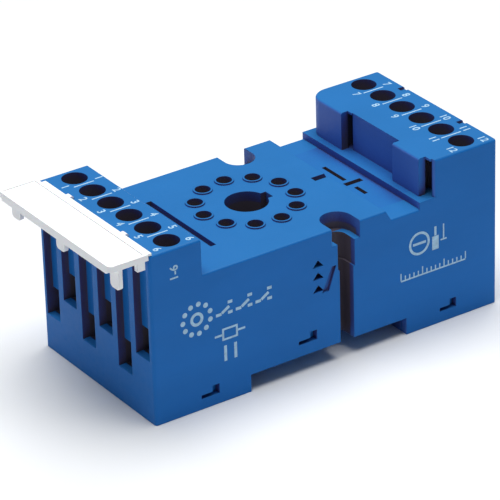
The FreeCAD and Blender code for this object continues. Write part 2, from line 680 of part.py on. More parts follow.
def contact_strip(number, fed_by, pin, width, via, bridge=()):
    """One stamped contact: clamp bar, strip across the hollow and the pin receptacle."""
    rows = terminals()
    first = rows[fed_by - 1]
    _, side, screw_x, y, floor = first
    z = bar_bottom(floor)
    start = (screw_x - side * CAGE_LENGTH / 2, y)
    pieces = [clamp_bar(first)] + ribbon([start] + list(via) + [pin], width, z)
    for extra, route in bridge:
        row = rows[extra - 1]
        pieces.append(clamp_bar(row))
        root = (row[2] - row[1] * CAGE_LENGTH / 2, row[3])
        pieces += ribbon([root] + list(route), width, z)
    top = DECK_TOP - DECK_THICKNESS - 0.05
    pieces.append(rod(pin[0], pin[1], z, top, RECEPTACLE_R))
    strip = join(pieces)
    bore = rod(pin[0], pin[1], z + 1.2, top + EPS, RECEPTACLE_BORE_R)
    slit_low = top - TOWER_LENGTH - 2.2
    slit = box(pin[0] - 2, pin[0] + 2, pin[1] - 0.2, pin[1] + 0.2, slit_low, top + EPS)
    save(strip.cut([bore, slit]), f"contact_strip_{number:02d}")


def contact_strips():
    pins = pin_places()
    rows = terminals()
    left_lead = LEFT_SCREW_X + 10.5
    right_lead = RIGHT_SCREW_X - 21.0
    level_y = [row[3] for row in rows[:TERMINALS_PER_SIDE]]
    edge_y = 10.25
    wide, slim = STRIP_WIDTH, NARROW_STRIP_WIDTH
    bridge_x = LEFT_SCREW_X + 6.9
    bridge = [(6, [(bridge_x, level_y[5]), (bridge_x, level_y[3])])]
    contact_strip(1, 1, pins[3], wide, [(left_lead + 4, level_y[0])])
    contact_strip(2, 2, pins[4], wide, [(left_lead + 2, level_y[1])])
    contact_strip(3, 3, pins[5], wide, [(left_lead, level_y[2])])
    contact_strip(4, 4, pins[6], wide, [(left_lead, level_y[3])], bridge)
    contact_strip(5, 5, pins[7], wide, [(left_lead + 2, level_y[4])])
    corner = RIGHT_SCREW_X - 22.8
    contact_strip(6, 7, pins[2], slim, [(corner + 3.8, level_y[0]), (corner, edge_y), (pins[2][0], edge_y)])
    contact_strip(7, 8, pins[1], wide, [(right_lead, level_y[1])])
    contact_strip(8, 9, pins[0], wide, [(right_lead, level_y[2])])
    contact_strip(9, 10, pins[10], wide, [(right_lead, level_y[3])])
    contact_strip(10, 11, pins[9], wide, [(right_lead, level_y[4])])
    contact_strip(11, 12, pins[8], slim, [(corner + 3.8, level_y[5]), (corner, -edge_y), (pins[8][0], -edge_y)])


def module_contacts():
    """Forked blades under the two deck slots, standing on the strips that they tap."""
    top = LOW_DECK_TOP - DECK_THICKNESS + 0.15
    low_strip = bar_bottom(LOW_ENTRY_FLOOR) + BAR_THICKNESS
    high_strip = bar_bottom(HIGH_ENTRY_FLOOR) + BAR_THICKNESS
    x0, x1 = FORK_X
    gap_x0, gap_x1 = FORK_GAP_X
    y0, y1 = FORK_1_Y
    fork = box(x0, x1, y0, y1, low_strip, top)
    gap = box(gap_x0, gap_x1, y0 - EPS, y1 + EPS, top - FORK_1_GAP, top + EPS)
    save(fork.cut(gap), "module_contact_1")
    y0, y1 = FORK_2_Y
    blade = box(x0, x1, y0, y1, high_strip, top)
    foot = box(x0, x1, y0, FORK_2_FOOT_Y, high_strip, high_strip + FORK_FOOT_THICKNESS)
    gap = box(gap_x0, gap_x1, y0 - EPS, y1 + EPS, top - FORK_2_GAP, top + EPS)
    save(join([blade, foot]).cut(gap), "module_contact_2")


housing_cover()
base_plate()
din_latch()
din_latch_spring()
tag_holder()
tag_label()
for number, _, screw_x, y, floor in terminals():
    terminal_screw(number, screw_x, y, floor)
    clamp_cage(number, screw_x, y, floor)
contact_strips()
module_contacts()
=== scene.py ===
import json
import math

import bmesh
import bpy
from mathutils import Matrix, Vector


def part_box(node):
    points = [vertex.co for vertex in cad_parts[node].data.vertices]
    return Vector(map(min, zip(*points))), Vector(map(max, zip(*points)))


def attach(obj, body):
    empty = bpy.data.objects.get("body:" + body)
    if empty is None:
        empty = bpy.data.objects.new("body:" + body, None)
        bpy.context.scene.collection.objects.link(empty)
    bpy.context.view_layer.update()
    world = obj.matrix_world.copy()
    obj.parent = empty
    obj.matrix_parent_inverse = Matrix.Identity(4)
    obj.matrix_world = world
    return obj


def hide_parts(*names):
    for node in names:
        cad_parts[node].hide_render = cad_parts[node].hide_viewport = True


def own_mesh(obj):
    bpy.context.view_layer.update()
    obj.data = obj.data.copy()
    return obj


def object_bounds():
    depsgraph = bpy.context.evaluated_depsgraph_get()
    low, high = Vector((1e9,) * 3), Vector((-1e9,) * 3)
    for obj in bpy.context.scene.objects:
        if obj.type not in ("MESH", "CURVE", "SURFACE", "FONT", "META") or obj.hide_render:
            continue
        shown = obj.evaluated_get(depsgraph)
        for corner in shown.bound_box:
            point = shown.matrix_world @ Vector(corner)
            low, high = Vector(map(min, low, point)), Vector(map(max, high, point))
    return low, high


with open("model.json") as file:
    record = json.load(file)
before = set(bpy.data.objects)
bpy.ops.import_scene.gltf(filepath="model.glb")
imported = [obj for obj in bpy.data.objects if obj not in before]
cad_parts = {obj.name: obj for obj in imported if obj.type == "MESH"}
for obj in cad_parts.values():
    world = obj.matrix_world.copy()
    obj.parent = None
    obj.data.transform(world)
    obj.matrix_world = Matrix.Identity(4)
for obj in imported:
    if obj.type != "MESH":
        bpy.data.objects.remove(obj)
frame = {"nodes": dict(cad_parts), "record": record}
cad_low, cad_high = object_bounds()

MM = 0.001

# ---------------------------------------------------------------- places read from the CAD
COVER_LOW, COVER_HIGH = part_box("housing_cover")
SPRING_LOW, SPRING_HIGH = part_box("din_latch_spring")
FRONT = COVER_LOW.y
BLOCK_TOP = COVER_HIGH.z
MIDDLE_X = (COVER_LOW.x + COVER_HIGH.x) / 2
HALF_LENGTH = (COVER_HIGH.x - COVER_LOW.x) / 2

# ---------------------------------------------------------------- shading zones of the housing
HOLLOW_REACH = 9 * MM  # how far away a wall still closes a point in, for the painted shade in hollows
CHANNEL_REACH = 1.6 * MM  # the wire channels lie within this much of the end faces
INSIDE_HALF = 17.6 * MM  # a point nearer to the middle plane than this is between the walls
INSIDE_TOP = 22 * MM  # and below this height it is inside
POCKET_START = 14 * MM  # further out than this, it counts as in a panel-screw pocket
ENDS_START = 25 * MM  # unless it is further along than this
RING_LEVEL = 17 * MM  # a pocket's flat ring lies above this height
ZONE_BLUR = 0.2 * MM  # widths over which one zone fades into the next
NARROW_BLUR = 0.1 * MM
WIDE_BLUR = 1 * MM
UPWARD_NORMAL = (0.5, 0.9)  # z of the normal, from not upward to upward
LEFTWARD_NORMAL = (-0.9, -0.3)  # x of the normal, from facing left to not

# Extra weight of how closed in a place is, which deepens the painted shade, and what takes some
# of that weight back
ALONG_WALL_DEPTH = 0.45
INSIDE_DEPTH = 2.0
POCKET_RELIEF = 0.8
RING_RELIEF = 1.6
UPWARD_RELIEF = 0.3
END_RELIEF = 1.2

# ---------------------------------------------------------------- looks
NOISE_SPREAD = (0.3, 0.7)  # most noise values lie in this range
FALLING = (1.0, 0.0)  # a mask that fades out as the value rises
EDGE_BEND = (0.0, 0.35)  # bend of the rounded normal, from no wear to full wear

# Tints of the blue plastic: red to add, then the factors of green and blue
# Painted light: the tint of upward faces under the top light
PAINTED_TOP_LIGHT_TINT = (0.012, 1.06, 0.87)
# Pale edges: partly wear, partly a painted highlight
EDGE_WEAR_AND_HIGHLIGHT_TINT = (0.01, 1.3, 1.25)
# Painted shade in the hollows, on side faces and on upward faces
PAINTED_SIDE_SHADE_TINT = (0.035, 0.75, 0.87)
PAINTED_TOP_SHADE_TINT = (0.01, 0.7, 0.8)
# Places whose red is the same in every blue: red, then the factors of green and blue
# Painted shade, purple, on walls that face the left end
PAINTED_LEFT_WALL_SHADE_TINT = (0.075, 1.0, 0.96)
# Painted light on the floors of the wire channels
PAINTED_SILL_LIGHT_TINT = (0.04, 2.0, 1.75)
# How much of the painted shade on walls facing the left end is laid on
PAINTED_LEFT_WALL_SHADE_COVER = 0.8
# Painted shade deep in the hollows, near black
PAINTED_DEEP_SHADE_COLOUR = (0.09, 0.075, 0.098, 1.0)
# Openness over which each colour of the painted shade gives way to the next, up to the open
# colour
DEEP_TO_SHADE = (0.06, 0.32)
SHADE_TO_DUSK = (0.35, 0.58)
DUSK_TO_OPEN = (0.54, 0.82)

# Stretches of the noise: higher is finer along that axis
FLOW_STRETCH = (0.7, 1.0, 1.8)
FIBRE_STRETCH = (1.0, 0.25, 1.0)
FINE_ALONG_X = (8.0, 1.0, 1.0)
FINE_ALONG_Z = (1.0, 1.0, 8.0)

# ---------------------------------------------------------------- printed marks
# Positions are millimetres from the middle of the rail seat, as in the CAD.
PRINT_THICKNESS = 0.02 * MM
PRINT_LIFT = 0.004 * MM
DIGIT_WEIGHT = 0.02

TERMINAL_COUNT = 12
LABEL_SIZE = 2.25
LABEL_LIMIT_Y = -17.2  # keeps the last numbers on the block
LABEL_COLUMNS = {  # (x, shift along y from the screw) of each side's two columns
    "left": ((-35.75, -2.0), (-28.85, -2.5)),
    "right": ((29.35, -2.6), (36.6, -2.5)),
}
DIVIDER_SPANS = {"left": (-34.5, -30.2), "right": (30.7, 35.3)}
DIVIDER_WIDTH = 0.3

PIN_COUNT = 11
PIN_MARK_CENTRE = (-28.9, 15.3)
PIN_MARK_R = 3.0
PIN_DOT_R = 0.52
KEY_RING_RADII = (1.4, 0.8)
CONTACT_COUNT = 3
CONTACT_START = (-24.8, 14.6)
CONTACT_PITCH = 4.3
CONTACT_WIDTH = 0.6
CONTACT_STROKES = (  # arm, blade, lower terminal and upper terminal
    ((0.0, 0.0), (1.2, 0.0)),
    ((1.3, 0.15), (2.9, 1.15)),
    ((2.6, -0.1), (3.6, -0.1)),
    ((2.6, 2.0), (3.6, 2.0)),
)
COIL_CENTRE = (-21.9, 10.3)
COIL_OUTSIDE = (3.4, 2.5)
COIL_INSIDE = (2.6, 1.7)
COIL_LEADS = ((-25.2, -23.65), (-20.15, -18.6))
COIL_LEAD_WIDTH = 0.42
COUNT_PLACE = (-21.9, 6.2)
COUNT_SIZE = 4.4

SCREW_HEAD_CENTRE = (20.7, 14.8)
SCREW_HEAD_RADII = (2.4, 1.9)
WIRING_STROKES = (  # start, end, width
    ((19.2, 14.8), (22.2, 14.8), 0.5),  # slot of the screw head
    ((24.4, 12.4), (24.4, 15.2), 1.5),  # insulated wire
    ((24.4, 15.3), (24.4, 17.2), 0.5),  # its bare end
    ((26.3, 14.2), (26.3, 17.2), 0.3),  # mark beside it for the length to strip
    ((25.6, 14.0), (27.0, 14.0), 0.3),  # foot of that mark
)
GAUGE_START = (16.4, 8.1)
GAUGE_STEPS = 15
GAUGE_LONG_EVERY = 5
GAUGE_LONG = 1.5
GAUGE_SHORT = 0.85
GAUGE_LIFT = 0.16
GAUGE_LINE = 0.3
GAUGE_TICK = 0.26

RANGE_PLACE = (-33.25, 26.15)
RANGE_SIZE = 2.4

# ---------------------------------------------------------------- latch spring
WIRE_R = 0.22 * MM
COIL_R = 1.25 * MM
SPRING_TURNS = 9.0
STEPS_PER_TURN = 20
CLOSED_PART = 0.11  # share of the turns that lies closed at each end
CLOSED_PITCH = 1.02  # in wire thicknesses

# ---------------------------------------------------------------- stage, light and camera
FLOOR_SIZE = 1.5
FLOOR_Z = cad_low.z - 0.05 * MM
SKY_COLOUR = (0.7, 0.85, 1.0, 1.0)
SKY_STRENGTH = 0.17
LIGHT_PLACE = (0.01, 0.035, 0.55)
LIGHT_AIM = (0, 0, 0.01)
LIGHT_SIDE = 0.5
LIGHT_POWER = 4.15

CAMERA_AZIMUTH = math.radians(-33.62)
CAMERA_ELEVATION = math.radians(27.87)
CAMERA_ROLL = math.radians(-1.741)
CAMERA_DISTANCE = 679.1 * MM
CAMERA_LENS = 265.0
CAMERA_SENSOR = 36.0
CAMERA_AIM = Vector((-7.11, -3.82, 16.06)) * MM
CAMERA_CLIP = (0.01, 10.0)


# ---------------------------------------------------------------- node helpers
class Nodes:
    """A short way to write a material's node tree."""

    def __init__(self, name):
        self.material = bpy.data.materials.new(name)
        self.material.use_nodes = True
        self.tree = self.material.node_tree
        self.tree.nodes.clear()
        output = self.add("ShaderNodeOutputMaterial")
        self.shader = self.add("ShaderNodeBsdfPrincipled")
        self.link(self.shader.outputs["BSDF"], output.inputs["Surface"])
        self.place = self.add("ShaderNodeTexCoord").outputs["Object"]

    def look(self, sockets):
        """Links or sets the shader's own sockets, and returns the material."""
        for socket, value in sockets.items():
            self.put(self.shader, socket, value)
        return self.material

    def add(self, kind, **settings):
        node = self.tree.nodes.new(kind)
        for key, value in settings.items():
            setattr(node, key, value)
        return node

    def link(self, source, target):
        self.tree.links.new(source, target)

    def put(self, node, socket, value):
        if hasattr(value, "is_output"):
            self.link(value, node.inputs[socket])
        else:
            node.inputs[socket].default_value = value

    def noise(self, scale, detail, roughness=0.5, stretch=None):
        place = self.place
        if stretch:
            mapping = self.add("ShaderNodeMapping")
            self.put(mapping, "Scale", stretch)
            self.put(mapping, "Vector", place)
            place = mapping.outputs["Vector"]
        node = self.add("ShaderNodeTexNoise")
        self.put(node, "Vector", place)
        self.put(node, "Scale", scale)
        self.put(node, "Detail", detail)
        self.put(node, "Roughness", roughness)
        return node.outputs["Fac"]

    def remap(self, value, source, target=(0.0, 1.0)):
        """Stretches the source range to the target range, and stops at its ends."""
        node = self.add("ShaderNodeMapRange", clamp=True)
        self.put(node, "Value", value)
        self.put(node, "From Min", source[0])
        self.put(node, "From Max", source[1])
        self.put(node, "To Min", target[0])
        self.put(node, "To Max", target[1])
        return node.outputs["Result"]

    def mix(self, factor, first, second):
        """A colour between two. The node's sockets 6, 7 and 2 are the ones for colours."""
        node = self.add("ShaderNodeMix", data_type="RGBA")
        self.put(node, 0, factor)
        self.put(node, 6, first)
        self.put(node, 7, second)
        return node.outputs[2]

    def maths(self, operation, first, second=0.0):
        node = self.add("ShaderNodeMath", operation=operation)
        self.put(node, 0, first)
        self.put(node, 1, second)
        return node.outputs[0]

    def size(self, value):
        return self.maths("ABSOLUTE", value)

    def less(self, first, second):
        return self.maths("SUBTRACT", first, second)

    def plus(self, first, second):
        return self.maths("ADD", first, second)

    def times(self, first, *others):
        for other in others:
            first = self.maths("MULTIPLY", first, other)
        return first

    def bump(self, height, distance, strength, normal=None):
        node = self.add("ShaderNodeBump")
        self.put(node, "Strength", strength)
        self.put(node, "Distance", distance)
        self.put(node, "Height", height)
        if normal is not None:
            self.put(node, "Normal", normal)
        return node.outputs["Normal"]

    def crevice(self, distance):
        """1 in the open and lower in hollows of the same object."""
        node = self.add("ShaderNodeAmbientOcclusion", samples=8, only_local=True)
        self.put(node, "Distance", distance)
        return node.outputs["AO"]

    def tone(self, colour, brightness):
        node = self.add("ShaderNodeHueSaturation")
        self.put(node, "Value", brightness)
        self.put(node, "Color", colour)
        return node.outputs["Color"]

    def split(self, vector):
        node = self.add("ShaderNodeSeparateXYZ")
        self.put(node, 0, vector)
        return node.outputs

    def worn_edge(self, radius):
        """0 on flat stretches and 1 on sharp edges, and a normal that rounds the edges off."""
        bevel = self.add("ShaderNodeBevel", samples=6)
        self.put(bevel, "Radius", radius)
        dot = self.add("ShaderNodeVectorMath", operation="DOT_PRODUCT")
        self.put(dot, 0, bevel.outputs["Normal"])
        self.put(dot, 1, self.add("ShaderNodeNewGeometry").outputs["Normal"])
        difference = self.less(1.0, dot.outputs["Value"])
        return self.remap(difference, EDGE_BEND), bevel.outputs["Normal"]

    def openness(self):
        """How far a point of the housing lies open, from 0 deep in a hollow to 1, for the painted
        shade.

        Walls along the length count as deeper, and so do the insides. The pockets' rings,
        upward faces, and the floors and backs of the wire channels count as more open.
        It also returns three masks: upward faces, the wire channels' floors, which get painted
        light, and the walls that face the left end, which get painted shade.
        """
        x, y, z = self.split(self.place)
        facing = self.split(self.add("ShaderNodeNewGeometry").outputs["Normal"])
        upward = self.remap(facing[2], UPWARD_NORMAL)
        leftward = self.remap(facing[0], LEFTWARD_NORMAL, FALLING)

        reach = self.size(self.less(x, MIDDLE_X))
        channel = HALF_LENGTH - CHANNEL_REACH
        at_end = self.remap(reach, (channel, channel + ZONE_BLUR))
        behind = self.remap(reach, (channel - NARROW_BLUR, channel), FALLING)
        across = self.size(y)
        between = self.remap(across, (INSIDE_HALF - ZONE_BLUR, INSIDE_HALF), FALLING)
        below = self.remap(z, (INSIDE_TOP - WIDE_BLUR, INSIDE_TOP), FALLING)
        inside = self.times(behind, between, below)
        pocket = self.times(
            self.remap(across, (POCKET_START - ZONE_BLUR, POCKET_START)),
            self.remap(reach, (ENDS_START, ENDS_START + WIDE_BLUR), FALLING),
        )
        ring_zone = self.remap(z, (RING_LEVEL - WIDE_BLUR, RING_LEVEL))
        ring = self.times(pocket, ring_zone, upward)
        end_floor_or_back = self.times(at_end, self.plus(self.size(facing[0]), upward))

        depth = self.times(self.size(facing[1]), ALONG_WALL_DEPTH)
        inside_depth = self.less(INSIDE_DEPTH, self.times(pocket, POCKET_RELIEF))
        depth = self.plus(depth, self.times(inside, inside_depth))
        depth = self.less(depth, self.times(ring, RING_RELIEF))
        depth = self.less(depth, self.times(upward, UPWARD_RELIEF))
        depth = self.less(depth, self.times(end_floor_or_back, END_RELIEF))

        # The ambient occlusion, weighted by the depth above, sets the level of the painted shade
        light = self.crevice(HOLLOW_REACH)
        level = self.less(light, self.times(self.less(1.0, light), depth))
        # Floors of the wire channels, which get painted light
        lit_sill = self.times(at_end, upward, below)
        # Walls facing the left end, which get painted shade
        shaded_left_wall = self.times(behind, leftward, self.less(1.0, upward))
        return level, upward, lit_sill, shaded_left_wall


def rgb(red, green, blue):
    return (red, green, blue, 1.0)


# ---------------------------------------------------------------- materials
def blue_plastic(name, base, shade, roughness):
    """Moulded polyamide: fine grain, faint flow marks, pale edges that are partly wear and partly
    a painted highlight, painted shade from dusky to dark in the hollows, a painted light tint on
    upward faces, painted shade on walls facing the left end and painted light on the wire
    channels' sills.
    """
    m = Nodes(name)
    red, green, blue = base[:3]

    def tinted(tint):
        return rgb(red + tint[0], green * tint[1], blue * tint[2])

    def fixed_red(tint):
        return rgb(tint[0], green * tint[1], blue * tint[2])

    level, upward, lit_sill, shaded_left_wall = m.openness()
    # Painted light: upward faces get a warmer, less blue tint
    colour = m.mix(upward, base, tinted(PAINTED_TOP_LIGHT_TINT))
    # Painted shade on walls that face the left end
    colour = m.mix(m.times(shaded_left_wall, PAINTED_LEFT_WALL_SHADE_COVER), colour, fixed_red(PAINTED_LEFT_WALL_SHADE_TINT))
    flow = m.noise(scale=55.0, detail=4.0, roughness=0.55, stretch=FLOW_STRETCH)
    colour = m.tone(colour, m.remap(flow, NOISE_SPREAD, (0.95, 1.05)))
    edge, soft_normal = m.worn_edge(radius=0.22 * MM)
    scuffs = m.remap(m.noise(scale=420.0, detail=5.0, roughness=0.7), (0.35, 0.7), (0.1, 0.5))
    # Pale edges, partly wear and partly a painted highlight, broken up by scuffs
    colour = m.mix(m.times(edge, scuffs), colour, tinted(EDGE_WEAR_AND_HIGHLIGHT_TINT))

    # Painted shade in the hollows: near black deep in, then dusky blue towards the open
    deep_shade = m.mix(m.remap(level, DEEP_TO_SHADE), PAINTED_DEEP_SHADE_COLOUR, shade)
    mid_shade = m.mix(upward, tinted(PAINTED_SIDE_SHADE_TINT), tinted(PAINTED_TOP_SHADE_TINT))
    painted_shade = m.mix(m.remap(level, SHADE_TO_DUSK), deep_shade, mid_shade)
    colour = m.mix(m.remap(level, DUSK_TO_OPEN), painted_shade, colour)
    # Painted light on the wire channels' sills
    colour = m.mix(lit_sill, colour, fixed_red(PAINTED_SILL_LIGHT_TINT))

    gloss = m.noise(scale=900.0, detail=2.0)
    grain = m.noise(scale=5200.0, detail=2.0, roughness=0.6)
    normal = m.bump(grain, distance=0.012 * MM, strength=0.3, normal=soft_normal)
    return m.look({
        "Base Color": colour,
        "Roughness": m.remap(gloss, NOISE_SPREAD, (roughness - 0.05, roughness + 0.07)),
        "IOR": 1.5,
        "Specular IOR Level": 0.12,
        "Normal": m.bump(flow, distance=0.05 * MM, strength=0.12, normal=normal),
    })


def white_plastic(name):
    """Moulded white plastic that lets a little light in."""
    m = Nodes(name)
    white = rgb(0.97, 0.97, 0.97)
    tint = m.noise(scale=90.0, detail=3.0)
    colour = m.mix(m.remap(tint, NOISE_SPREAD), rgb(0.93, 0.935, 0.94), white)
    edge, soft_normal = m.worn_edge(radius=0.15 * MM)
    gloss = m.noise(scale=700.0, detail=2.0)
    grain = m.noise(scale=3000.0, detail=2.0)
    return m.look({
        "Base Color": m.mix(m.times(edge, 0.25), colour, white),
        "Roughness": m.remap(gloss, NOISE_SPREAD, (0.36, 0.46)),
        "Subsurface Weight": 0.08,
        "Subsurface Scale": 0.5 * MM,
        "Normal": m.bump(grain, distance=0.01 * MM, strength=0.3, normal=soft_normal),
    })


def label_card(name):
    """Matt card whose fibres run along the strip."""
    m = Nodes(name)
    fibre = m.noise(scale=1500.0, detail=4.0, roughness=0.6, stretch=FIBRE_STRETCH)
    shades = rgb(0.88, 0.89, 0.89), rgb(0.95, 0.95, 0.95)
    return m.look({
        "Base Color": m.mix(m.remap(fibre, NOISE_SPREAD), *shades),
        "Roughness": m.remap(fibre, NOISE_SPREAD, (0.55, 0.7)),
        "Normal": m.bump(fibre, distance=0.01 * MM, strength=0.5),
    })


def metal(name, base, tarnish, roughness, brushed=FINE_ALONG_Z):
    """Brushed metal with tarnished patches and brighter edges."""
    m = Nodes(name)
    grain = m.noise(scale=900.0, detail=4.0, roughness=0.6, stretch=brushed)
    patches = m.noise(scale=350.0, detail=4.0, roughness=0.6)
    colour = m.mix(m.remap(patches, (0.4, 0.75), (0.0, 0.8)), base, tarnish)
    edge, soft_normal = m.worn_edge(radius=0.08 * MM)
    bright = rgb(*(min(1.0, channel * 1.3) for channel in base[:3]))
    return m.look({
        "Base Color": m.mix(m.times(edge, 0.6), colour, bright),
        "Metallic": 1.0,
        "Roughness": m.remap(grain, (0.25, 0.75), (roughness - 0.08, roughness + 0.12)),
        "Normal": m.bump(grain, distance=0.01 * MM, strength=0.4, normal=soft_normal),
    })


def print_ink(name, base):
    """Pad-printed ink that covers the plastic slightly unevenly."""
    m = Nodes(name)
    cover = m.remap(m.noise(scale=1400.0, detail=4.0, roughness=0.65), (0.3, 0.65))
    thin = rgb(*(channel * 0.75 for channel in base[:3]))
    return m.look({
        "Base Color": m.mix(cover, thin, base),
        "Roughness": m.remap(cover, (0.0, 1.0), (0.5, 0.62)),
        "Normal": m.bump(cover, distance=0.004 * MM, strength=0.4),
    })


def floor_paint(name):
    m = Nodes(name)
    tint = m.remap(m.noise(scale=14.0, detail=3.0), NOISE_SPREAD)
    colour = m.mix(tint, rgb(0.90, 0.90, 0.90), rgb(0.93, 0.93, 0.93))
    return m.look({"Base Color": colour, "Roughness": 0.8})


BASE_SHADE = rgb(0.045, 0.04, 0.145)
MATERIALS = {
    "blue_housing": blue_plastic(
        "blue_housing", rgb(0.010, 0.150, 0.49), rgb(0.05, 0.045, 0.165), 0.42
    ),
    "blue_base": blue_plastic("blue_base", rgb(0.009, 0.138, 0.45), BASE_SHADE, 0.46),
    "blue_latch": blue_plastic("blue_latch", rgb(0.009, 0.143, 0.465), BASE_SHADE, 0.36),
    "spring_steel": metal(
        "spring_steel", rgb(0.55, 0.55, 0.56), rgb(0.35, 0.34, 0.33), 0.3
    ),
    "white_tag": white_plastic("white_tag"),
    "label_card": label_card("label_card"),
    "screw_zinc": metal("screw_zinc", rgb(0.5, 0.48, 0.44), rgb(0.33, 0.3, 0.26), 0.38),
    "cage_zinc": metal(
        "cage_zinc", rgb(0.5, 0.5, 0.5), rgb(0.34, 0.33, 0.32), 0.4, FINE_ALONG_X
    ),
    "contact_brass": metal(
        "contact_brass", rgb(0.72, 0.55, 0.28), rgb(0.5, 0.36, 0.18), 0.34, FINE_ALONG_X
    ),
}
INK = print_ink("pale_print", rgb(0.42, 0.66, 0.86))


def dress_cad_nodes():
    """Gives every CAD node the material that its record entry names."""
    for entry in frame["record"]["subparts"]:
        part = frame["nodes"][entry["node"]]
        part.data.materials.clear()
        part.data.materials.append(MATERIALS[entry["material_slot"]])


# ---------------------------------------------------------------- object helpers
def in_scene(name, data):
    thing = bpy.data.objects.new(name, data)
    bpy.context.scene.collection.objects.link(thing)
    return thing


def curve_mesh(curve):
    """A mesh made from a curve or text. The curve itself is removed."""
    holder = in_scene(curve.name, curve)
    bpy.context.view_layer.update()
    mesh = bpy.data.meshes.new_from_object(holder)
    bpy.data.objects.remove(holder)
    bpy.data.curves.remove(curve)
    return mesh


def print_piece(name, build):
    """A new piece of ink whose mesh is made by build(bmesh), riding on the housing."""
    mesh = bpy.data.meshes.new(name)
    work = bmesh.new()
    build(work)
    bmesh.ops.recalc_face_normals(work, faces=work.faces[:])
    work.to_mesh(mesh)
    work.free()
    piece = in_scene(name, mesh)
    mesh.materials.append(INK)
    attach(piece, "housing")


def slab(work, place, outline, hole=None):
    """A thin printed shape: a closed outline of (u, v) points, with a hole of as many points."""
    loops = [
        [work.verts.new(place @ Vector((u, v, height))) for u, v in loop]
        for loop in ([outline, hole] if hole else [outline])
        for height in (0.0, PRINT_THICKNESS)
    ]
    for lower, upper in zip(loops[::2], loops[1::2]):
        for i, vertex in enumerate(lower):
            work.faces.new((lower[i - 1], vertex, upper[i], upper[i - 1]))
    if not hole:
        work.faces.new(loops[0])
        work.faces.new(loops[1])
        return
    for outer, inner in ((loops[0], loops[2]), (loops[1], loops[3])):
        for i, vertex in enumerate(outer):
            work.faces.new((outer[i - 1], vertex, inner[i], inner[i - 1]))


def bar(work, place, start, end, width):
    along = (Vector(end) - Vector(start)).normalized()
    side = Vector((-along.y, along.x)) * width / 2
    corners = (
        Vector(start) - side, Vector(end) - side, Vector(end) + side, Vector(start) + side
    )
    slab(work, place, [tuple(corner * MM) for corner in corners])


def around(centre, radius, angle):
    return centre[0] + radius * math.cos(angle), centre[1] + radius * math.sin(angle)


def round_outline(centre, radius, segments=28):
    step = 2 * math.pi / segments
    points = (around(centre, radius, step * i) for i in range(segments))
    return [(u * MM, v * MM) for u, v in points]


def frame_outline(centre, size):
    width, height = size
    corners = ((-1, -1), (1, -1), (1, 1), (-1, 1))
    return [
        ((centre[0] + a * width / 2) * MM, (centre[1] + b * height / 2) * MM)
        for a, b in corners
    ]


def digits(work, place, text, size):
    """A number in the built-in font, centred on the place and as thick as the other print."""
    curve = bpy.data.curves.new("digits", "FONT")
    curve.body = text
    curve.size = size * MM
    curve.align_x = "CENTER"
    curve.align_y = "CENTER"
    curve.resolution_u = 4
    curve.offset = size * DIGIT_WEIGHT * MM
    curve.extrude = PRINT_THICKNESS / 2
    mesh = curve_mesh(curve)
    mesh.transform(place @ Matrix.Translation((0, 0, PRINT_THICKNESS / 2)))
    work.from_mesh(mesh)
    bpy.data.meshes.remove(mesh)


def surface(origin, right, upward):
    """The frame of a flat surface: u along right, v along upward, and its normal outwards."""
    right, upward = Vector(right), Vector(upward)
    normal = right.cross(upward)
    turn = Matrix((right, upward, normal)).transposed()
    return Matrix.Translation(Vector(origin) + normal * PRINT_LIFT) @ turn.to_4x4()


def on_block_top(x, y):
    return surface((x * MM, y * MM, BLOCK_TOP), (0, -1, 0), (1, 0, 0))


FRONT_FACE = surface((0, FRONT, 0), (1, 0, 0), (0, 0, 1))


# ---------------------------------------------------------------- prints
def terminal_rows(side):
    """Number and screw y of each terminal of a side, in millimetres, from the screws' boxes."""
    rows = []
    for number in range(1, TERMINAL_COUNT + 1):
        low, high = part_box(f"terminal_screw_{number:02d}")
        if side == ("left" if high.x < 0 else "right"):
            rows.append((number, (low.y + high.y) / 2 / MM))
    return rows


def print_terminal_numbers(side):
    """Each terminal's number on both sides of its screw, and lines between the terminals."""

    def build(work):
        rows = terminal_rows(side)
        for number, y in rows:
            for x, shift in LABEL_COLUMNS[side]:
                place = on_block_top(x, max(y + shift, LABEL_LIMIT_Y))
                digits(work, place, str(number), LABEL_SIZE)
        start, end = DIVIDER_SPANS[side]
        for (_, upper), (_, lower) in zip(rows, rows[1:]):
            place = on_block_top(0, (upper + lower) / 2)
            bar(work, place, (0, start), (0, end), DIVIDER_WIDTH)

    print_piece(f"terminal_print_{side}", build)


def print_circuit():
    """The pin layout, three change-over contacts, the coil and the number of pins."""

    def build(work):
        key_ring = [round_outline(PIN_MARK_CENTRE, radius) for radius in KEY_RING_RADII]
        slab(work, FRONT_FACE, *key_ring)
        for index in range(PIN_COUNT):
            angle = 2 * math.pi / PIN_COUNT * (index + 0.5)
            centre = around(PIN_MARK_CENTRE, PIN_MARK_R, angle)
            slab(work, FRONT_FACE, round_outline(centre, PIN_DOT_R, segments=14))
        for index in range(CONTACT_COUNT):
            u = CONTACT_START[0] + index * CONTACT_PITCH
            v = CONTACT_START[1]
            for (u0, v0), (u1, v1) in CONTACT_STROKES:
                bar(work, FRONT_FACE, (u + u0, v + v0), (u + u1, v + v1), CONTACT_WIDTH)
        coil = [frame_outline(COIL_CENTRE, size) for size in (COIL_OUTSIDE, COIL_INSIDE)]
        slab(work, FRONT_FACE, *coil)
        for start, end in COIL_LEADS:
            level = COIL_CENTRE[1]
            bar(work, FRONT_FACE, (start, level), (end, level), COIL_LEAD_WIDTH)
        count_place = Matrix.Translation((COUNT_PLACE[0] * MM, COUNT_PLACE[1] * MM, 0))
        digits(work, FRONT_FACE @ count_place, str(PIN_COUNT), COUNT_SIZE)

    print_piece("circuit_print", build)


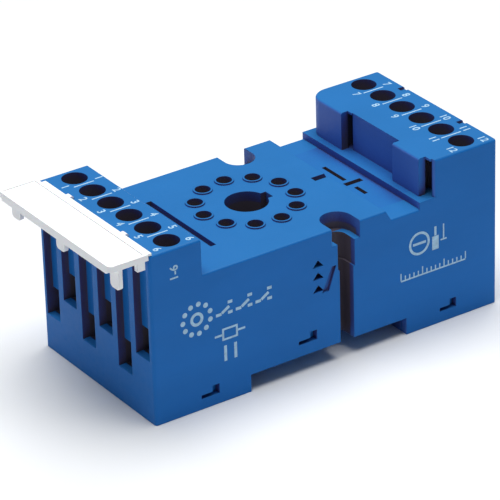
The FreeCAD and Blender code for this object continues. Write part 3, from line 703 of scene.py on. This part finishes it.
def print_wiring_gauge():
    """A screw head, a stripped wire and a strip-length gauge."""

    def build(work):
        head = [round_outline(SCREW_HEAD_CENTRE, radius) for radius in SCREW_HEAD_RADII]
        slab(work, FRONT_FACE, *head)
        for start, end, width in WIRING_STROKES:
            bar(work, FRONT_FACE, start, end, width)
        u, v = GAUGE_START
        bar(work, FRONT_FACE, (u, v), (u + GAUGE_STEPS, v), GAUGE_LINE)
        for index in range(GAUGE_STEPS + 1):
            height = GAUGE_SHORT if index % GAUGE_LONG_EVERY else GAUGE_LONG
            bottom = v + GAUGE_LIFT
            bar(work, FRONT_FACE, (u + index, bottom), (u + index, bottom + height), GAUGE_TICK)

    print_piece("wiring_gauge_print", build)


def print_terminal_range():
    """The numbers of the terminals in the left block, printed sideways on its front."""

    def build(work):
        x, z = RANGE_PLACE
        place = surface((x * MM, FRONT, z * MM), (0, 0, 1), (-1, 0, 0))
        digits(work, place, "1-6", RANGE_SIZE)

    print_piece("terminal_range_print", build)


# ---------------------------------------------------------------- latch spring
def latch_spring():
    """A wound compression spring with closed ends."""
    middle = (SPRING_LOW + SPRING_HIGH) / 2
    start, end = SPRING_LOW.x + WIRE_R, SPRING_HIGH.x - WIRE_R
    lead = 2 * WIRE_R * CLOSED_PITCH / (end - start)
    curve = bpy.data.curves.new("latch_spring_wire", "CURVE")
    curve.dimensions = "3D"
    curve.bevel_depth = WIRE_R
    curve.bevel_resolution = 3
    curve.use_fill_caps = True
    spline = curve.splines.new("POLY")
    count = int(SPRING_TURNS * STEPS_PER_TURN)
    spline.points.add(count)
    for index, point in enumerate(spline.points):
        part = index / count
        if part < CLOSED_PART:
            along = lead * part / CLOSED_PART
        elif part > 1 - CLOSED_PART:
            along = 1 - lead * (1 - part) / CLOSED_PART
        else:
            inner = (part - CLOSED_PART) / (1 - 2 * CLOSED_PART)
            along = lead + (1 - 2 * lead) * inner
        y, z = around((middle.y, middle.z), COIL_R, 2 * math.pi * SPRING_TURNS * part)
        point.co = (start + (end - start) * along, y, z, 1.0)
    mesh = curve_mesh(curve)
    spring = in_scene("latch_spring", mesh)
    mesh.materials.clear()
    mesh.materials.append(MATERIALS["spring_steel"])
    for polygon in mesh.polygons:
        polygon.use_smooth = True
    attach(spring, "housing")
    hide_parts("din_latch_spring")
    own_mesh(spring)


# ---------------------------------------------------------------- stage, light and camera
def make_floor():
    mesh = bpy.data.meshes.new("floor")
    work = bmesh.new()
    bmesh.ops.create_grid(work, x_segments=2, y_segments=2, size=FLOOR_SIZE)
    work.to_mesh(mesh)
    work.free()
    floor = in_scene("floor", mesh)
    floor.location.z = FLOOR_Z
    mesh.materials.append(floor_paint("floor_paint"))


def make_lights():
    """A pale blue surround and one large square light overhead."""
    world = bpy.data.worlds.new("studio")
    world.use_nodes = True
    backdrop = world.node_tree.nodes["Background"]
    backdrop.inputs["Color"].default_value = SKY_COLOUR
    backdrop.inputs["Strength"].default_value = SKY_STRENGTH
    bpy.context.scene.world = world

    data = bpy.data.lights.new("overhead", "AREA")
    data.shape = "RECTANGLE"
    data.size = data.size_y = LIGHT_SIDE
    data.energy = LIGHT_POWER
    light = in_scene("overhead", data)
    light.location = LIGHT_PLACE
    light.rotation_mode = "QUATERNION"
    towards = Vector(LIGHT_AIM) - Vector(LIGHT_PLACE)
    light.rotation_quaternion = towards.to_track_quat("-Z", "Y")


def make_camera():
    data = bpy.data.cameras.new("camera")
    data.lens = CAMERA_LENS
    data.sensor_width = CAMERA_SENSOR
    data.clip_start, data.clip_end = CAMERA_CLIP
    camera = in_scene("camera", data)
    flat = math.cos(CAMERA_ELEVATION)
    back = Vector((
        math.sin(CAMERA_AZIMUTH) * flat,
        -math.cos(CAMERA_AZIMUTH) * flat,
        math.sin(CAMERA_ELEVATION),
    ))
    level = Vector((math.cos(CAMERA_AZIMUTH), math.sin(CAMERA_AZIMUTH), 0))
    upward = back.cross(level)
    right = level * math.cos(CAMERA_ROLL) + upward * math.sin(CAMERA_ROLL)
    above = back.cross(right)
    turn = Matrix((right, above, back)).transposed()
    camera.matrix_world = Matrix.Translation(CAMERA_AIM + back * CAMERA_DISTANCE) @ turn.to_4x4()
    bpy.context.scene.camera = camera


# ---------------------------------------------------------------- build
bpy.context.scene.view_settings.view_transform = "Standard"
make_camera()
make_lights()
make_floor()
dress_cad_nodes()
print_terminal_numbers("left")
print_terminal_numbers("right")
print_circuit()
print_wiring_gauge()
print_terminal_range()
latch_spring()
